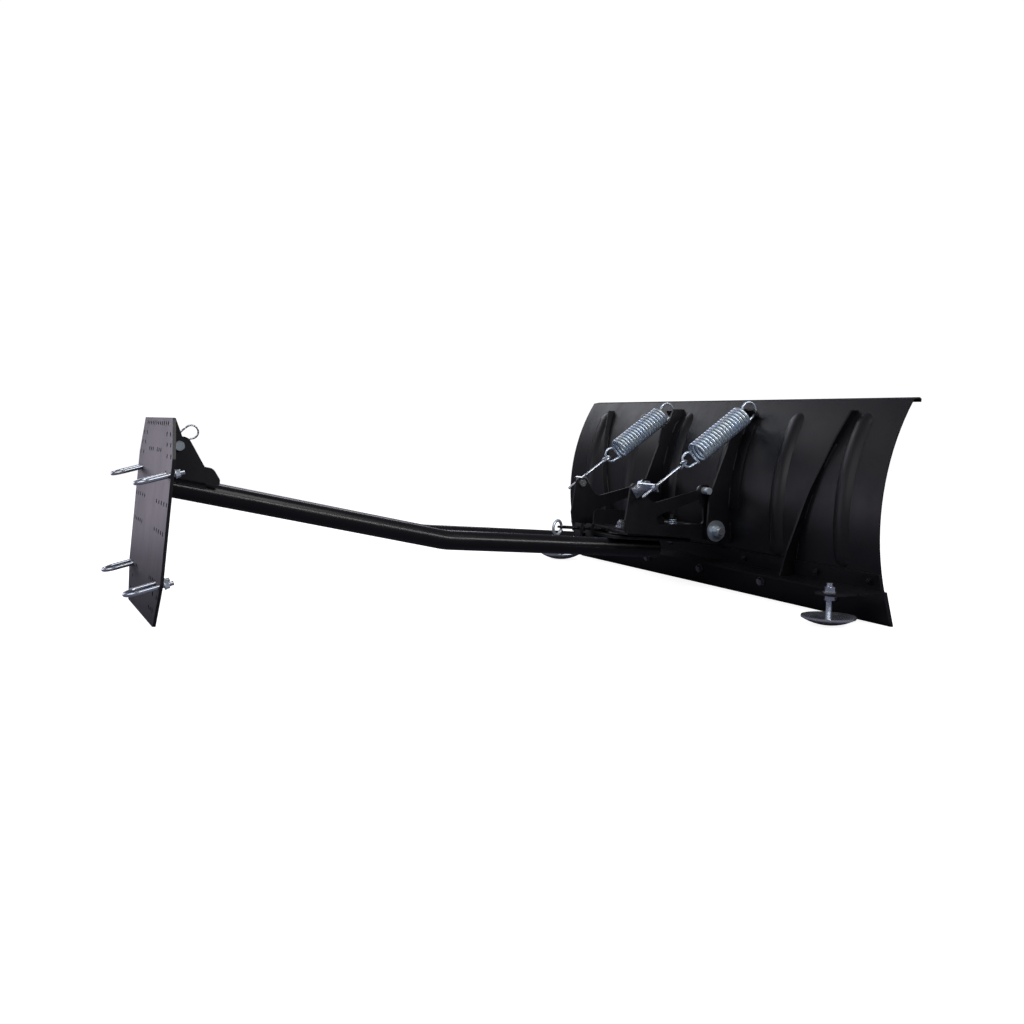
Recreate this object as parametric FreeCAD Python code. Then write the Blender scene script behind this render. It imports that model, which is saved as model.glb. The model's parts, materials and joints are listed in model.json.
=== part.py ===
import FreeCAD, Part
import math
import os

# ATV plow blade. Lengths in mm, angles in degrees. X points forward, Y left, Z up.
# The origin is the middle of the wear bar's lower edge, which rests on the ground.

# Blade
BLADE_WIDTH = 1270.0
FACE_RADIUS = 470.4
FACE_CENTRE_X = 426.0
FACE_CENTRE_Z = 207.2
SHEET = 3.0
BLADE_TOP = 460.0
ARC_START = 70.0
SHEET_BOTTOM = 8.0
RIB_OFFSETS = (106.0, 318.0, 527.0)
RIB_HEIGHT = 7.0
RIB_RADIUS = 44.6
RIB_LOW = 135.0
RIB_HIGH = 409.0
BAR_THICKNESS = 6.0
BAR_HEIGHT = 73.0
BAR_BOLT_SPACING = 242.0
BAR_BOLT_HEIGHT = 44.5
SHELF_HEIGHT = 76.0
SHELF_DEPTH = 36.0
SHELF_THICKNESS = 4.0
SHELF_FLANGE = 34.0
SHELF_CHAMFER = 30.0

# Skids
SKID_X = -111.0
SKID_Y = 572.0
SKID_RADIUS = 55.0
SKID_DISH = 110.0
STUD_RADIUS = 6.0
STUD_TOP = 86.0
SKID_TAB_LOW = 61.5
SKID_TAB = 5.0

# Trip hinge and side plates
TRIP_X = -87.0
TRIP_Z = 151.0
TRIP_BOLT = 8.0
RUNNING = 0.05
SIDE_IN = 124.0
SIDE_OUT = 130.0
LUG_IN = 144.0
LUG_OUT = 150.0
STOP_X = -110.4
STOP_Z = 246.0
STOP_RADIUS = 8.0
STOP_REACH = 22.0
FLANGE_LOW = 205.0
FLANGE_HIGH = 405.0
FLANGE_THICKNESS = 4.0
FLANGE_IN = 26.0
FLANGE_OUT = 34.0

# Trip springs
SPRING_Y = 172.0
COIL_TOP_X = -40.0
COIL_TOP_Z = 424.0
COIL_SLOPE = 35.3
COIL_LENGTH = 155.0
COIL_RADIUS = 23.2
COIL_WIRE = 2.8
COIL_TURNS = 17
HOOK_RADIUS = 17.0
HOOK_OUT_TOP = 26.0
HOOK_OUT_LOW = 25.0
EYE_LEVEL = -199.3
EYE_RADIUS = 10.5
EYE_WIRE = 3.0
EYE_TURN_RIGHT = 50.0
EYEBOLT_LENGTH = 130.0
BRACKET_DROP = 94.7
BRACKET_BOLT_X = -298.0
BRACKET_BOLT_Z = 250.0

# Push frame. The deck is the sloping plane through the front tube centre lines.
TUBE_Y = 72.0
TUBE_RADIUS = 21.5
TUBE_WALL = 2.5
DECK_SLOPE = 3.5
DECK_X = -261.0
DECK_Z = 107.6
TUBE_FRONT = 59.0
BEND_X = -748.0
BEND_RADIUS = 160.0
REAR_SLOPE = 11.6
FAN_LOW = 21.5
FAN_THICKNESS = 6.0
FAN_REAR = -79.0
FAN_RADIUS = 170.0
WEAR_THICKNESS = 5.0
BASE_THICKNESS = 6.0
KINGPIN = 6.0
SWIVEL_STOP = 30.0
GUIDE_X = 150.5
GUIDE_RADIUS = 5.0
GUIDE_SPRING_TOP = 70.5
LOCK_RADIUS = 56.0
LOCK_DEPTH = 12.5
LOCK_PIN = 4.0
LOCK_STEP = 15.0
RING_RADIUS = 16.5
RING_WIRE = 3.4
RING_TURN = -27.6

# Mount plate, leaning forward at the top, and its hinge ears
PLATE_TOP_X = -1335.0
PLATE_FOOT_X = -1372.0
PLATE_HEIGHT = 390.0
PLATE_THICKNESS = 6.0
PLATE_HALF = 216.0
PLATE_END_HALF = 175.0
PLATE_CHAMFER_HIGH = 315.0
PLATE_CHAMFER_LOW = 84.0
SLOT_HOLE = 4.75
HITCH_X = -1314.0
HITCH_Z = 335.0
HITCH_RADIUS = 8.0
EAR_IN = 96.0
EAR_OUT = 102.0
CLIP_WIRE = 2.0
CLIP_REACH = 63.0
CLIP_LOOP = 14.0
TANG_IN = 84.0
TANG_OUT = 92.0
U_BOLT_Y = 181.0
U_BOLT_HALF = 24.0
U_BOLT_WIRE = 4.0
U_BOLT_DROOP = 20.0
U_BOLT_REACH = 38.0
U_BOLT_LEVELS = (80.0, 285.0)

X_AXIS = FreeCAD.Vector(1, 0, 0)
Y_AXIS = FreeCAD.Vector(0, 1, 0)
Z_AXIS = FreeCAD.Vector(0, 0, 1)
BAR_LEAN = math.degrees(math.asin((FACE_CENTRE_Z - ARC_START) / FACE_RADIUS))
PLATE_LEAN = math.degrees(math.atan2(PLATE_TOP_X - PLATE_FOOT_X, PLATE_HEIGHT))
FAN_TOP = FAN_LOW + FAN_THICKNESS
BASE_LOW = FAN_TOP + WEAR_THICKNESS + 0.1
BASE_TOP = BASE_LOW + BASE_THICKNESS


def vec(x, y, z):
    return FreeCAD.Vector(x, y, z)


def box(x0, x1, y0, y1, z0, z1):
    return Part.makeBox(x1 - x0, y1 - y0, z1 - z0, vec(x0, y0, z0))


def rod(start, direction, radius, length):
    return Part.makeCylinder(radius, length, start, direction)


def pipe(start, direction, outer, inner, length):
    return rod(start, direction, outer, length).cut(rod(start, direction, inner, length))


def nut(start, direction, flats, height, bore):
    """Hexagon nut, or a solid hexagon when bore is 0, standing on start along direction."""
    corner = flats / 2 / math.cos(math.radians(30))
    ring = []
    for k in range(7):
        angle = math.radians(60 * k)
        ring.append(vec(corner * math.cos(angle), corner * math.sin(angle), 0))
    body = Part.Face(Part.makePolygon(ring)).extrude(vec(0, 0, height))
    cone = Part.makeCone(corner + height - 0.8, corner - 0.8, height)
    body = body.common(cone)
    if bore:
        body = body.cut(rod(vec(0, 0, 0), Z_AXIS, bore, height))
    body.Placement = FreeCAD.Placement(start, FreeCAD.Rotation(Z_AXIS, direction))
    return body


def rounded(points):
    """Closed outline in the XZ plane from (x, z, corner radius) points."""
    count = len(points)
    pieces = []
    ends = []
    for i, (x, z, radius) in enumerate(points):
        here = vec(x, 0, z)
        before = vec(points[i - 1][0], 0, points[i - 1][1]) - here
        after = vec(points[(i + 1) % count][0], 0, points[(i + 1) % count][1]) - here
        if radius <= 0:
            ends.append((here, here))
            continue
        half = before.getAngle(after) / 2
        run = radius / math.tan(half)
        start = here + before.normalize() * run
        finish = here + after.normalize() * run
        bisector = (before + after).normalize()
        middle = here + bisector * (radius / math.sin(half) - radius)
        pieces.append(Part.Arc(start, middle, finish).toShape())
        ends.append((start, finish))
    for i in range(count):
        start = ends[i][1]
        finish = ends[(i + 1) % count][0]
        if start.distanceToPoint(finish) > 0.001:
            pieces.append(Part.makeLine(start, finish))
    return Part.Wire(Part.__sortEdges__(pieces))


def plate(points, y0, y1):
    """Flat plate parallel to XZ between y0 and y1."""
    face = Part.Face(rounded(points))
    return face.translated(vec(0, y0, 0)).extrude(vec(0, y1 - y0, 0))


def flat(points, z0, z1):
    """Flat plate parallel to XY from (x, y, corner radius) points."""
    shape = plate(points, -z1, -z0)
    shape.rotate(vec(0, 0, 0), X_AXIS, -90)
    return shape


def bent_path(points, radius):
    """Open path through 3D points with every inner corner rounded to the same radius."""
    edges = []
    last = points[0]
    for i in range(1, len(points) - 1):
        before = points[i - 1] - points[i]
        after = points[i + 1] - points[i]
        half = before.getAngle(after) / 2
        run = radius / math.tan(half)
        start = points[i] + before.normalize() * run
        finish = points[i] + after.normalize() * run
        middle = points[i] + (before + after).normalize() * (radius / math.sin(half) - radius)
        edges.append(Part.makeLine(last, start))
        edges.append(Part.Arc(start, middle, finish).toShape())
        last = finish
    edges.append(Part.makeLine(last, points[-1]))
    return Part.Wire(edges)


def sweep(path, radius):
    """Round wire of the given radius along an open path."""
    first = path.OrderedEdges[0]
    begin = first.valueAt(first.FirstParameter)
    tangent = first.tangentAt(first.FirstParameter)
    if first.Orientation == "Reversed":
        begin = first.valueAt(first.LastParameter)
        tangent = first.tangentAt(first.LastParameter) * -1
    profile = Part.Wire(Part.makeCircle(radius, begin, tangent))
    return path.makePipeShell([profile], True, True)


def smooth(points):
    curve = Part.BSplineCurve()
    curve.interpolate(points)
    return Part.Wire(curve.toShape())


def flipped(shape):
    """Mirror image on the other side of the middle plane."""
    return shape.mirror(vec(0, 0, 0), Y_AXIS)


def save(name, *shapes):
    shape = shapes[0] if len(shapes) == 1 else Part.makeCompound(list(shapes))
    shape.exportStep(os.path.join("parts", name + ".step"))


def save_pair(name, *shapes):
    """The same piece on the left and, mirrored, on the right."""
    save(name + "_left", *shapes)
    save(name + "_right", *[flipped(s) for s in shapes])


def save_both(name, *shapes):
    """The left and right copies together as one node."""
    save(name, *shapes, *[flipped(s) for s in shapes])


def turned(shape, angle, x, z):
    """Turn about the Y axis through the origin, then move to x, z."""
    copy = shape.copy()
    copy.rotate(vec(0, 0, 0), Y_AXIS, angle)
    copy.translate(vec(x, 0, z))
    return copy


def on_deck(shape):
    """From kingpin coordinates (x along the deck, z square to it) to the blade's frame."""
    return turned(shape, DECK_SLOPE, DECK_X, DECK_Z)


def on_plate(shape):
    """From mount plate coordinates (z up the plate, x out of its front) to the blade's frame."""
    return turned(shape, PLATE_LEAN, PLATE_FOOT_X, 0)


def on_spring(shape):
    """From spring coordinates (z up the coil's axis from its top end) to the blade's frame."""
    return turned(shape, 90 - COIL_SLOPE, COIL_TOP_X, COIL_TOP_Z)


def arc_point(radius, angle):
    """Point on the blade's round section, angle measured up from the rearward direction."""
    turn = math.radians(angle)
    return vec(FACE_CENTRE_X - radius * math.cos(turn), 0, FACE_CENTRE_Z + radius * math.sin(turn))


def arc_angle(height):
    return math.degrees(math.asin((height - FACE_CENTRE_Z) / FACE_RADIUS))


def blade_core(radius):
    """Round body filling everything in front of the blade's back."""
    start = vec(FACE_CENTRE_X, -BLADE_WIDTH / 2 - 10, FACE_CENTRE_Z)
    return rod(start, Y_AXIS, radius, BLADE_WIDTH + 20)


def straight_foot(radius):
    """Lower end of the sheet, where the straight part below the arc stops."""
    top = arc_point(radius, -BAR_LEAN)
    run = (top.z - SHEET_BOTTOM) / math.cos(math.radians(BAR_LEAN))
    lean = math.radians(BAR_LEAN)
    return top + vec(math.sin(lean), 0, -math.cos(lean)) * run


def rib_body(radius, y):
    """Round-ended half-round bead that bulges out of the back of the sheet."""
    low = arc_angle(RIB_LOW)
    high = arc_angle(RIB_HIGH)
    centre_radius = FACE_RADIUS + SHEET + RIB_HEIGHT - RIB_RADIUS
    start = arc_point(centre_radius, low) + vec(0, y, 0)
    finish = arc_point(centre_radius, high) + vec(0, y, 0)
    turn = math.radians(low)
    tangent = vec(math.sin(turn), 0, math.cos(turn))
    disc = Part.Face(Part.Wire(Part.makeCircle(radius, start, tangent)))
    bead = disc.revolve(vec(FACE_CENTRE_X, 0, FACE_CENTRE_Z), Y_AXIS, high - low)
    bead = bead.fuse(Part.makeSphere(radius, start))
    return bead.fuse(Part.makeSphere(radius, finish))


def bar_bolt_places():
    return [BAR_BOLT_SPACING * k for k in (-2, -1, 0, 1, 2)]


def shelf_bolt_places():
    return [-605.0, -450.0, -200.0, 200.0, 450.0, 605.0]


def bar_frame(shape):
    """From wear bar coordinates (z up the bar's back, x out of its front) to the blade's frame."""
    foot = straight_foot(FACE_RADIUS)
    slope = math.tan(math.radians(BAR_LEAN))
    return turned(shape, -BAR_LEAN, foot.x + foot.z * slope, 0)


def shelf_frame(shape):
    """From shelf coordinates (z up the back of the sheet) to the blade's frame."""
    root = arc_point(FACE_RADIUS + SHEET, arc_angle(SHELF_HEIGHT))
    return turned(shape, -BAR_LEAN, root.x, root.z)


def moldboard():
    top = arc_angle(BLADE_TOP)
    middle = (top - BAR_LEAN) / 2
    back = FACE_RADIUS + SHEET
    lip = [vec(44, 0, 465.2), vec(49.5, 0, 462), vec(48.6, 0, 455.5), vec(45.6, 0, 456), vec(46.2, 0, 460.2)]
    lip.append(vec(43.2, 0, 462))
    edges = [Part.makeLine(straight_foot(FACE_RADIUS), arc_point(FACE_RADIUS, -BAR_LEAN))]
    front = [arc_point(FACE_RADIUS, a) for a in (-BAR_LEAN, middle, top)]
    edges.append(Part.Arc(*front).toShape())
    corners = [arc_point(back, top)] + lip + [arc_point(FACE_RADIUS, top)]
    for a, b in zip(corners, corners[1:]):
        edges.append(Part.makeLine(a, b))
    edges.append(Part.Arc(*[arc_point(back, a) for a in (top, middle, -BAR_LEAN)]).toShape())
    edges.append(Part.makeLine(arc_point(back, -BAR_LEAN), straight_foot(back)))
    edges.append(Part.makeLine(straight_foot(back), straight_foot(FACE_RADIUS)))
    section = Part.Face(Part.Wire(Part.__sortEdges__(edges)))
    sheet = section.translated(vec(0, -BLADE_WIDTH / 2, 0)).extrude(vec(0, BLADE_WIDTH, 0))
    core = blade_core(FACE_RADIUS + SHEET / 2)
    for offset in RIB_OFFSETS:
        for y in (-offset, offset):
            sheet = sheet.fuse(rib_body(RIB_RADIUS, y).cut(core))
            sheet = sheet.cut(rib_body(RIB_RADIUS - SHEET, y))
    for y in bar_bolt_places():
        sheet = sheet.cut(bar_frame(rod(vec(-20, y, BAR_BOLT_HEIGHT), X_AXIS, 5.2, 40)))
    for y in shelf_bolt_places():
        sheet = sheet.cut(shelf_frame(rod(vec(-20, y, 18), X_AXIS, 4.2, 40)))
    return sheet


def wear_bar():
    bar = box(0, BAR_THICKNESS, -BLADE_WIDTH / 2, BLADE_WIDTH / 2, -10, BAR_HEIGHT)
    for y in bar_bolt_places():
        bar = bar.cut(rod(vec(-5, y, BAR_BOLT_HEIGHT), X_AXIS, 5.2, 20))
    bar = bar_frame(bar)
    return bar.common(box(-60, 60, -BLADE_WIDTH, BLADE_WIDTH, 0, 100))


def wear_bar_bolts():
    bolts = []
    for y in bar_bolt_places():
        shank = rod(vec(-14, y, BAR_BOLT_HEIGHT), X_AXIS, 5.0, 14 + BAR_THICKNESS)
        dome = Part.makeSphere(14, vec(BAR_THICKNESS - 9.5, y, BAR_BOLT_HEIGHT))
        dome = dome.common(rod(vec(BAR_THICKNESS, y, BAR_BOLT_HEIGHT), X_AXIS, 11, 8))
        bolts.append(bar_frame(shank.fuse(dome)))
    return bolts


def wear_bar_nuts():
    nuts = []
    for y in bar_bolt_places():
        washer = pipe(vec(-SHEET, y, BAR_BOLT_HEIGHT), X_AXIS * -1, 10.5, 5.0, 1.6)
        hexagon = nut(vec(-SHEET - 1.6, y, BAR_BOLT_HEIGHT), X_AXIS * -1, 16, 8, 5.0)
        nuts.append(bar_frame(washer.fuse(hexagon)))
    return nuts


def shelf_angle():
    half = BLADE_WIDTH / 2
    leg = [(0, -half, 0), (-SHELF_DEPTH, -half + SHELF_CHAMFER, 3), (-SHELF_DEPTH, half - SHELF_CHAMFER, 3)]
    leg.append((0, half, 0))
    leg.append((8, half, 0))
    leg.append((8, -half, 0))
    angle = flat(leg, -SHELF_THICKNESS, 0)
    angle = angle.fuse(box(-SHELF_THICKNESS, 4, -half, half, 0, SHELF_FLANGE))
    for y in shelf_bolt_places():
        angle = angle.cut(rod(vec(-20, y, 18), X_AXIS, 4.2, 40))
    return shelf_frame(angle).cut(blade_core(FACE_RADIUS + SHEET))


def shelf_bolts():
    """Round-headed bolts through sheet and flange, nuts on the rear."""
    bolts = []
    for y in shelf_bolt_places():
        shank = rod(vec(-13, y, 18), X_AXIS, 4.0, 13 + SHEET)
        dome = Part.makeSphere(11, vec(SHEET - 5.2, y, 18))
        dome = dome.common(rod(vec(SHEET + 1.2, y, 18), X_AXIS, 9, 6))
        hexagon = nut(vec(-SHELF_THICKNESS - 0.2, y, 18), X_AXIS * -1, 13, 6.5, 0)
        bolts.append(shelf_frame(shank.fuse(dome).fuse(hexagon)))
    return bolts


def skid_tab():
    """Flat tab welded to the shelf's rear edge that carries one skid stud."""
    half = 30.0
    rear = SKID_X - 20
    outline = [(-60, SKID_Y - half, 0), (rear, SKID_Y - half, 14), (rear, SKID_Y + half, 14)]
    outline.append((-60, SKID_Y + half, 0))
    tab = flat(outline, SKID_TAB_LOW, SKID_TAB_LOW + SKID_TAB)
    tab = tab.cut(rod(vec(SKID_X, SKID_Y, 0), Z_AXIS, STUD_RADIUS + 0.5, 100))
    leg = box(-SHELF_DEPTH, 20, 0, BLADE_WIDTH, -SHELF_THICKNESS, 60)
    return tab.cut(shelf_frame(leg)).cut(blade_core(FACE_RADIUS + SHEET))


def skid():
    """Dished round foot on a vertical stud."""
    outer = Part.makeSphere(SKID_DISH, vec(SKID_X, SKID_Y, SKID_DISH))
    inner = Part.makeSphere(SKID_DISH - 3.5, vec(SKID_X, SKID_Y, SKID_DISH))
    dish = outer.cut(inner).common(rod(vec(SKID_X, SKID_Y, -5), Z_AXIS, SKID_RADIUS, 30))
    hub = rod(vec(SKID_X, SKID_Y, 3.0), Z_AXIS, 9.5, 5)
    stud = rod(vec(SKID_X, SKID_Y, 3.0), Z_AXIS, STUD_RADIUS, STUD_TOP - 3)
    return dish.fuse(hub).fuse(stud)


def skid_nuts():
    low = nut(vec(SKID_X, SKID_Y, SKID_TAB_LOW - 11), Z_AXIS, 19, 11, STUD_RADIUS + RUNNING)
    top = SKID_TAB_LOW + SKID_TAB
    washer = pipe(vec(SKID_X, SKID_Y, top), Z_AXIS, 13, STUD_RADIUS + RUNNING, 2)
    high = nut(vec(SKID_X, SKID_Y, top + 2), Z_AXIS, 19, 9.5, STUD_RADIUS + RUNNING)
    return low, washer.fuse(high)


def brace():
    """Diagonal flat bar standing on the back of the blade, from high outside down to the shelf."""
    foot_y, foot_z = 365.0, 72.0
    rise_y, rise_z = 131.0, 366.0
    length = math.hypot(rise_y, rise_z)
    outline = [(-69, 0, 0), (-69.5, 60, 80), (-58, 200, 300), (-28, 325, 300), (-6, length, 5)]
    outline += [(60, length, 0), (60, 0, 0)]
    bar = plate(outline, -2.5, 2.5)
    bar.rotate(vec(0, 0, 0), X_AXIS, -math.degrees(math.atan2(rise_y, rise_z)))
    bar.translate(vec(0, foot_y, foot_z))
    shelf = box(-SHELF_DEPTH - 1, 0, 0, BLADE_WIDTH, -SHELF_THICKNESS - 10, 0)
    flange = box(-SHELF_THICKNESS, 20, 0, BLADE_WIDTH, -1, SHELF_FLANGE)
    bar = bar.cut(shelf_frame(shelf)).cut(shelf_frame(flange))
    bar = bar.cut(rib_body(RIB_RADIUS, RIB_OFFSETS[2]))
    return bar.cut(blade_core(FACE_RADIUS + SHEET))


def trip_lug():
    """Upright hinge plate on the back of the blade with its bent spring tab."""
    outline = [(-113, 125, 25), (-107, 232, 0), (-60, 351, 25), (-50, 393, 4), (-30, 411, 4)]
    outline += [(-17, 442, 3), (30, 442, 0), (30, 118, 0), (-60, 122, 10)]
    lug = plate(outline, LUG_IN, LUG_OUT)
    tab = flat([(3, LUG_IN, 0), (3, 186, 8), (27, 186, 8), (27, LUG_IN, 0)], 28.5, 33.5)
    tab = tab.cut(rod(vec(15.7, SPRING_Y, 20), Z_AXIS, 6.0, 20))
    lug = lug.fuse(on_spring(tab))
    lug = lug.cut(blade_core(FACE_RADIUS + SHEET))
    return lug.cut(rod(vec(TRIP_X, 100, TRIP_Z), Y_AXIS, TRIP_BOLT + RUNNING, 100)).removeSplitter()


def lug_flange(y0, y1):
    """Curved foot on the back of the blade that one hinge plate is welded to."""
    back = FACE_RADIUS + SHEET
    strip = box(-80, 60, y0, y1, FLANGE_LOW, FLANGE_HIGH)
    strip = strip.common(blade_core(back + FLANGE_THICKNESS)).cut(blade_core(back))
    return strip.cut(rib_body(RIB_RADIUS + 0.05, RIB_OFFSETS[0]))


def trip_spring():
    """Close-wound extension spring, a hook standing on each end."""
    pitch = COIL_LENGTH / COIL_TURNS
    low = -COIL_LENGTH - HOOK_OUT_LOW
    hook = HOOK_RADIUS
    points = []
    bow = ((-15.0, 9.0), (-hook, 0.0), (-12.0, -12.0), (0.0, -hook), (12.0, -12.0), (hook, 0.0))
    for x, z in bow:
        points.append(vec(x, 0, low + z))
    points.append(vec(17.8, 0.2, low + 8.5))
    points.append(vec(19.4, 0.8, low + 15.5))
    points.append(vec(22.2, 2.6, low + 21.6))
    steps = COIL_TURNS * 12
    for k in range(1, steps):
        turn = 2 * math.pi * k / 12
        across = COIL_RADIUS * math.sin(turn)
        points.append(vec(COIL_RADIUS * math.cos(turn), across, -COIL_LENGTH + pitch * k / 12))
    points.append(vec(22.2, -2.6, 3.4))
    points.append(vec(19.4, -0.8, 9.5))
    points.append(vec(17.8, -0.2, 17.0))
    for x, z in reversed(bow):
        points.append(vec(x, 0, HOOK_OUT_TOP - z))
    spring = sweep(smooth(points), COIL_WIRE)
    spring.translate(vec(0, SPRING_Y, 0))
    return on_spring(spring)


def eyebolt(turn):
    """Bent bolt: a round eye left a little open, an S-bend back to the straight shank."""
    points = []
    for degrees in (-35, 0, 45, 90, 135, 180, 218):
        angle = math.radians(degrees)
        points.append(vec(0, EYE_RADIUS * math.cos(angle), EYE_RADIUS * math.sin(angle)))
    points.append(vec(0, -3.6, -11.4))
    points.append(vec(0, 0, -19))
    eye = Part.BSplineCurve()
    eye.interpolate(Points=points, InitialTangent=vec(0, 8, 12), FinalTangent=vec(0, 0, -12))
    shank = Part.makeLine(vec(0, 0, -19), vec(0, 0, -EYEBOLT_LENGTH))
    bolt = sweep(Part.Wire([eye.toShape(), shank]), EYE_WIRE)
    bolt.rotate(vec(0, 0, 0), Z_AXIS, turn)
    bolt.translate(vec(0, SPRING_Y, EYE_LEVEL))
    return on_spring(bolt)


def spring_bracket():
    """Zinc angle on the outside of the ear that takes the eyebolt."""
    level = EYE_LEVEL - BRACKET_DROP
    face = box(-10, 10, SIDE_OUT, SPRING_Y + 10, level, level + 4)
    side = box(-17, 10, SIDE_OUT, SIDE_OUT + 4, level - 30, level + 4)
    bracket = face.fuse(side).cut(rod(vec(0, SPRING_Y, level - 5), Z_AXIS, EYE_WIRE + 0.4, 20))
    bracket = on_spring(bracket)
    hole = rod(vec(BRACKET_BOLT_X, 100, BRACKET_BOLT_Z), Y_AXIS, 5.2, 60)
    return bracket.cut(hole).removeSplitter()


def bracket_bolt():
    x, z = BRACKET_BOLT_X, BRACKET_BOLT_Z
    head = nut(vec(x, SIDE_IN, z), Y_AXIS * -1, 16, 6.5, 0)
    shank = rod(vec(x, SIDE_IN, z), Y_AXIS, 5.0, SIDE_OUT - SIDE_IN + 14)
    far = nut(vec(x, SIDE_OUT + 4, z), Y_AXIS, 16, 8, 5.0)
    return head.fuse(shank), far


def eyebolt_nuts():
    level = EYE_LEVEL - BRACKET_DROP
    upper = nut(vec(0, SPRING_Y, level + 4), Z_AXIS, 11, 5.5, EYE_WIRE)
    lower = nut(vec(0, SPRING_Y, level), Z_AXIS * -1, 11, 5.5, EYE_WIRE)
    return on_spring(upper), on_spring(lower)


def side_plate():
    """Swivel bracket cheek: rear ear, sloping arm, front strut and hinge boss round a window."""
    outline = [(-322, 149, 5), (-326, 178, 12), (-313, 263, 12), (-286, 263, 12), (-257, 215.5, 25)]
    outline += [(-128, 247, 10), (-119, 260, 8), (-98, 260, 9), (-60, 175, 15), (-60, 126, 24)]
    outline.append((-115, 130, 10))
    window = [(-243, 187, 6), (-122, 225, 7), (-110, 204, 6), (-108, 166, 9), (-235, 166, 9)]
    cheek = plate(outline, SIDE_IN, SIDE_OUT).cut(plate(window, SIDE_IN - 1, SIDE_OUT + 1))
    cheek = cheek.cut(rod(vec(TRIP_X, 100, TRIP_Z), Y_AXIS, TRIP_BOLT + RUNNING, 100))
    cheek = cheek.cut(rod(vec(STOP_X, 100, STOP_Z), Y_AXIS, 6.1, 100))
    return cheek.cut(rod(vec(BRACKET_BOLT_X, 100, BRACKET_BOLT_Z), Y_AXIS, 5.2, 100))


def stop_bolt():
    """Round stop standing out of the cheek, held by a nut on the inside."""
    start = vec(STOP_X, SIDE_IN, STOP_Z)
    shank = rod(start, Y_AXIS, 6.0, SIDE_OUT - SIDE_IN)
    roller = rod(vec(STOP_X, SIDE_OUT, STOP_Z), Y_AXIS, STOP_RADIUS, STOP_REACH)
    inner = nut(start, Y_AXIS * -1, 19, 10, 0)
    return shank.fuse(roller).fuse(inner)


def trip_bolt():
    return rod(vec(TRIP_X, 95, TRIP_Z), Y_AXIS, TRIP_BOLT, 78)


def trip_bush():
    return pipe(vec(TRIP_X, SIDE_OUT, TRIP_Z), Y_AXIS, 14, TRIP_BOLT, LUG_IN - SIDE_OUT - 0.1)


def trip_nut():
    washer = pipe(vec(TRIP_X, LUG_OUT + 0.1, TRIP_Z), Y_AXIS, 25, TRIP_BOLT, 3)
    collar = pipe(vec(TRIP_X, LUG_OUT + 3.1, TRIP_Z), Y_AXIS, 13, TRIP_BOLT, 2)
    hexagon = nut(vec(TRIP_X, LUG_OUT + 5.1, TRIP_Z), Y_AXIS, 22, 13, TRIP_BOLT)
    return washer.fuse(collar).fuse(hexagon)


def trip_sleeve():
    return pipe(vec(TRIP_X, -SIDE_IN, TRIP_Z), Y_AXIS, 10.5, TRIP_BOLT, 2 * SIDE_IN)


def swivel_base():
    """Flat plate that turns on the kingpin, with five lock notches in its round rear edge."""
    outline = [(-56, -SIDE_IN, 0), (165, -SIDE_IN, 0), (165, SIDE_IN, 0), (-56, SIDE_IN, 0)]
    base = flat(outline, BASE_LOW, BASE_TOP)
    relief = box(-70, 0, -38, 38, BASE_LOW, BASE_TOP)
    base = base.cut(relief.cut(rod(vec(0, 0, 0), Z_AXIS, LOCK_RADIUS, 100)))
    half = LOCK_PIN + 0.2
    for k in (-2, -1, 0, 1, 2):
        notch = box(-LOCK_RADIUS - 5, -LOCK_RADIUS + LOCK_DEPTH, -half, half, BASE_LOW, BASE_TOP)
        notch.rotate(vec(0, 0, 0), Z_AXIS, LOCK_STEP * k)
        base = base.cut(notch)
    base = base.cut(rod(vec(0, 0, 0), Z_AXIS, KINGPIN + RUNNING, 100))
    return on_deck(base.cut(rod(vec(GUIDE_X, 0, 0), Z_AXIS, GUIDE_RADIUS + 0.1, 100)))


def inner_channel():
    web = box(-35, 75, -75, 75, BASE_TOP, BASE_TOP + 4)
    web = web.cut(rod(vec(0, 0, 0), Z_AXIS, KINGPIN + RUNNING, 100))
    wall = [(-35, BASE_TOP + 4, 0), (-35, 80, 12), (75, 80, 12), (75, BASE_TOP + 4, 0)]
    channel = web.fuse(plate(wall, 71, 75)).fuse(plate(wall, -75, -71))
    return on_deck(channel)


def guide_bolt():
    low = 4.0
    shank = rod(vec(GUIDE_X, 0, low), Z_AXIS, GUIDE_RADIUS, GUIDE_SPRING_TOP + 1 - low)
    cap = rod(vec(GUIDE_X, 0, GUIDE_SPRING_TOP + 0.8), Z_AXIS, 10, 2)
    head = nut(vec(GUIDE_X, 0, GUIDE_SPRING_TOP + 2.8), Z_AXIS, 15, 6, 0)
    return on_deck(shank.fuse(cap).fuse(head))


def guide_nut():
    washer = pipe(vec(GUIDE_X, 0, FAN_LOW - 2.6), Z_AXIS, 12, GUIDE_RADIUS, 2.5)
    hexagon = nut(vec(GUIDE_X, 0, FAN_LOW - 2.6), Z_AXIS * -1, 17, 8, GUIDE_RADIUS)
    return on_deck(washer.fuse(hexagon))


def coil(radius, wire, low, high, turns):
    """Plain open coil standing along Z."""
    points = []
    for k in range(turns * 12 + 1):
        turn = 2 * math.pi * k / 12
        height = low + (high - low) * k / turns / 12
        points.append(vec(radius * math.cos(turn), radius * math.sin(turn), height))
    return sweep(smooth(points), wire)


def guide_spring():
    spring = coil(8.4, 1.0, BASE_TOP + 1.2, GUIDE_SPRING_TOP - 0.4, 8)
    spring.translate(vec(GUIDE_X, 0, 0))
    return on_deck(spring)


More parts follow.
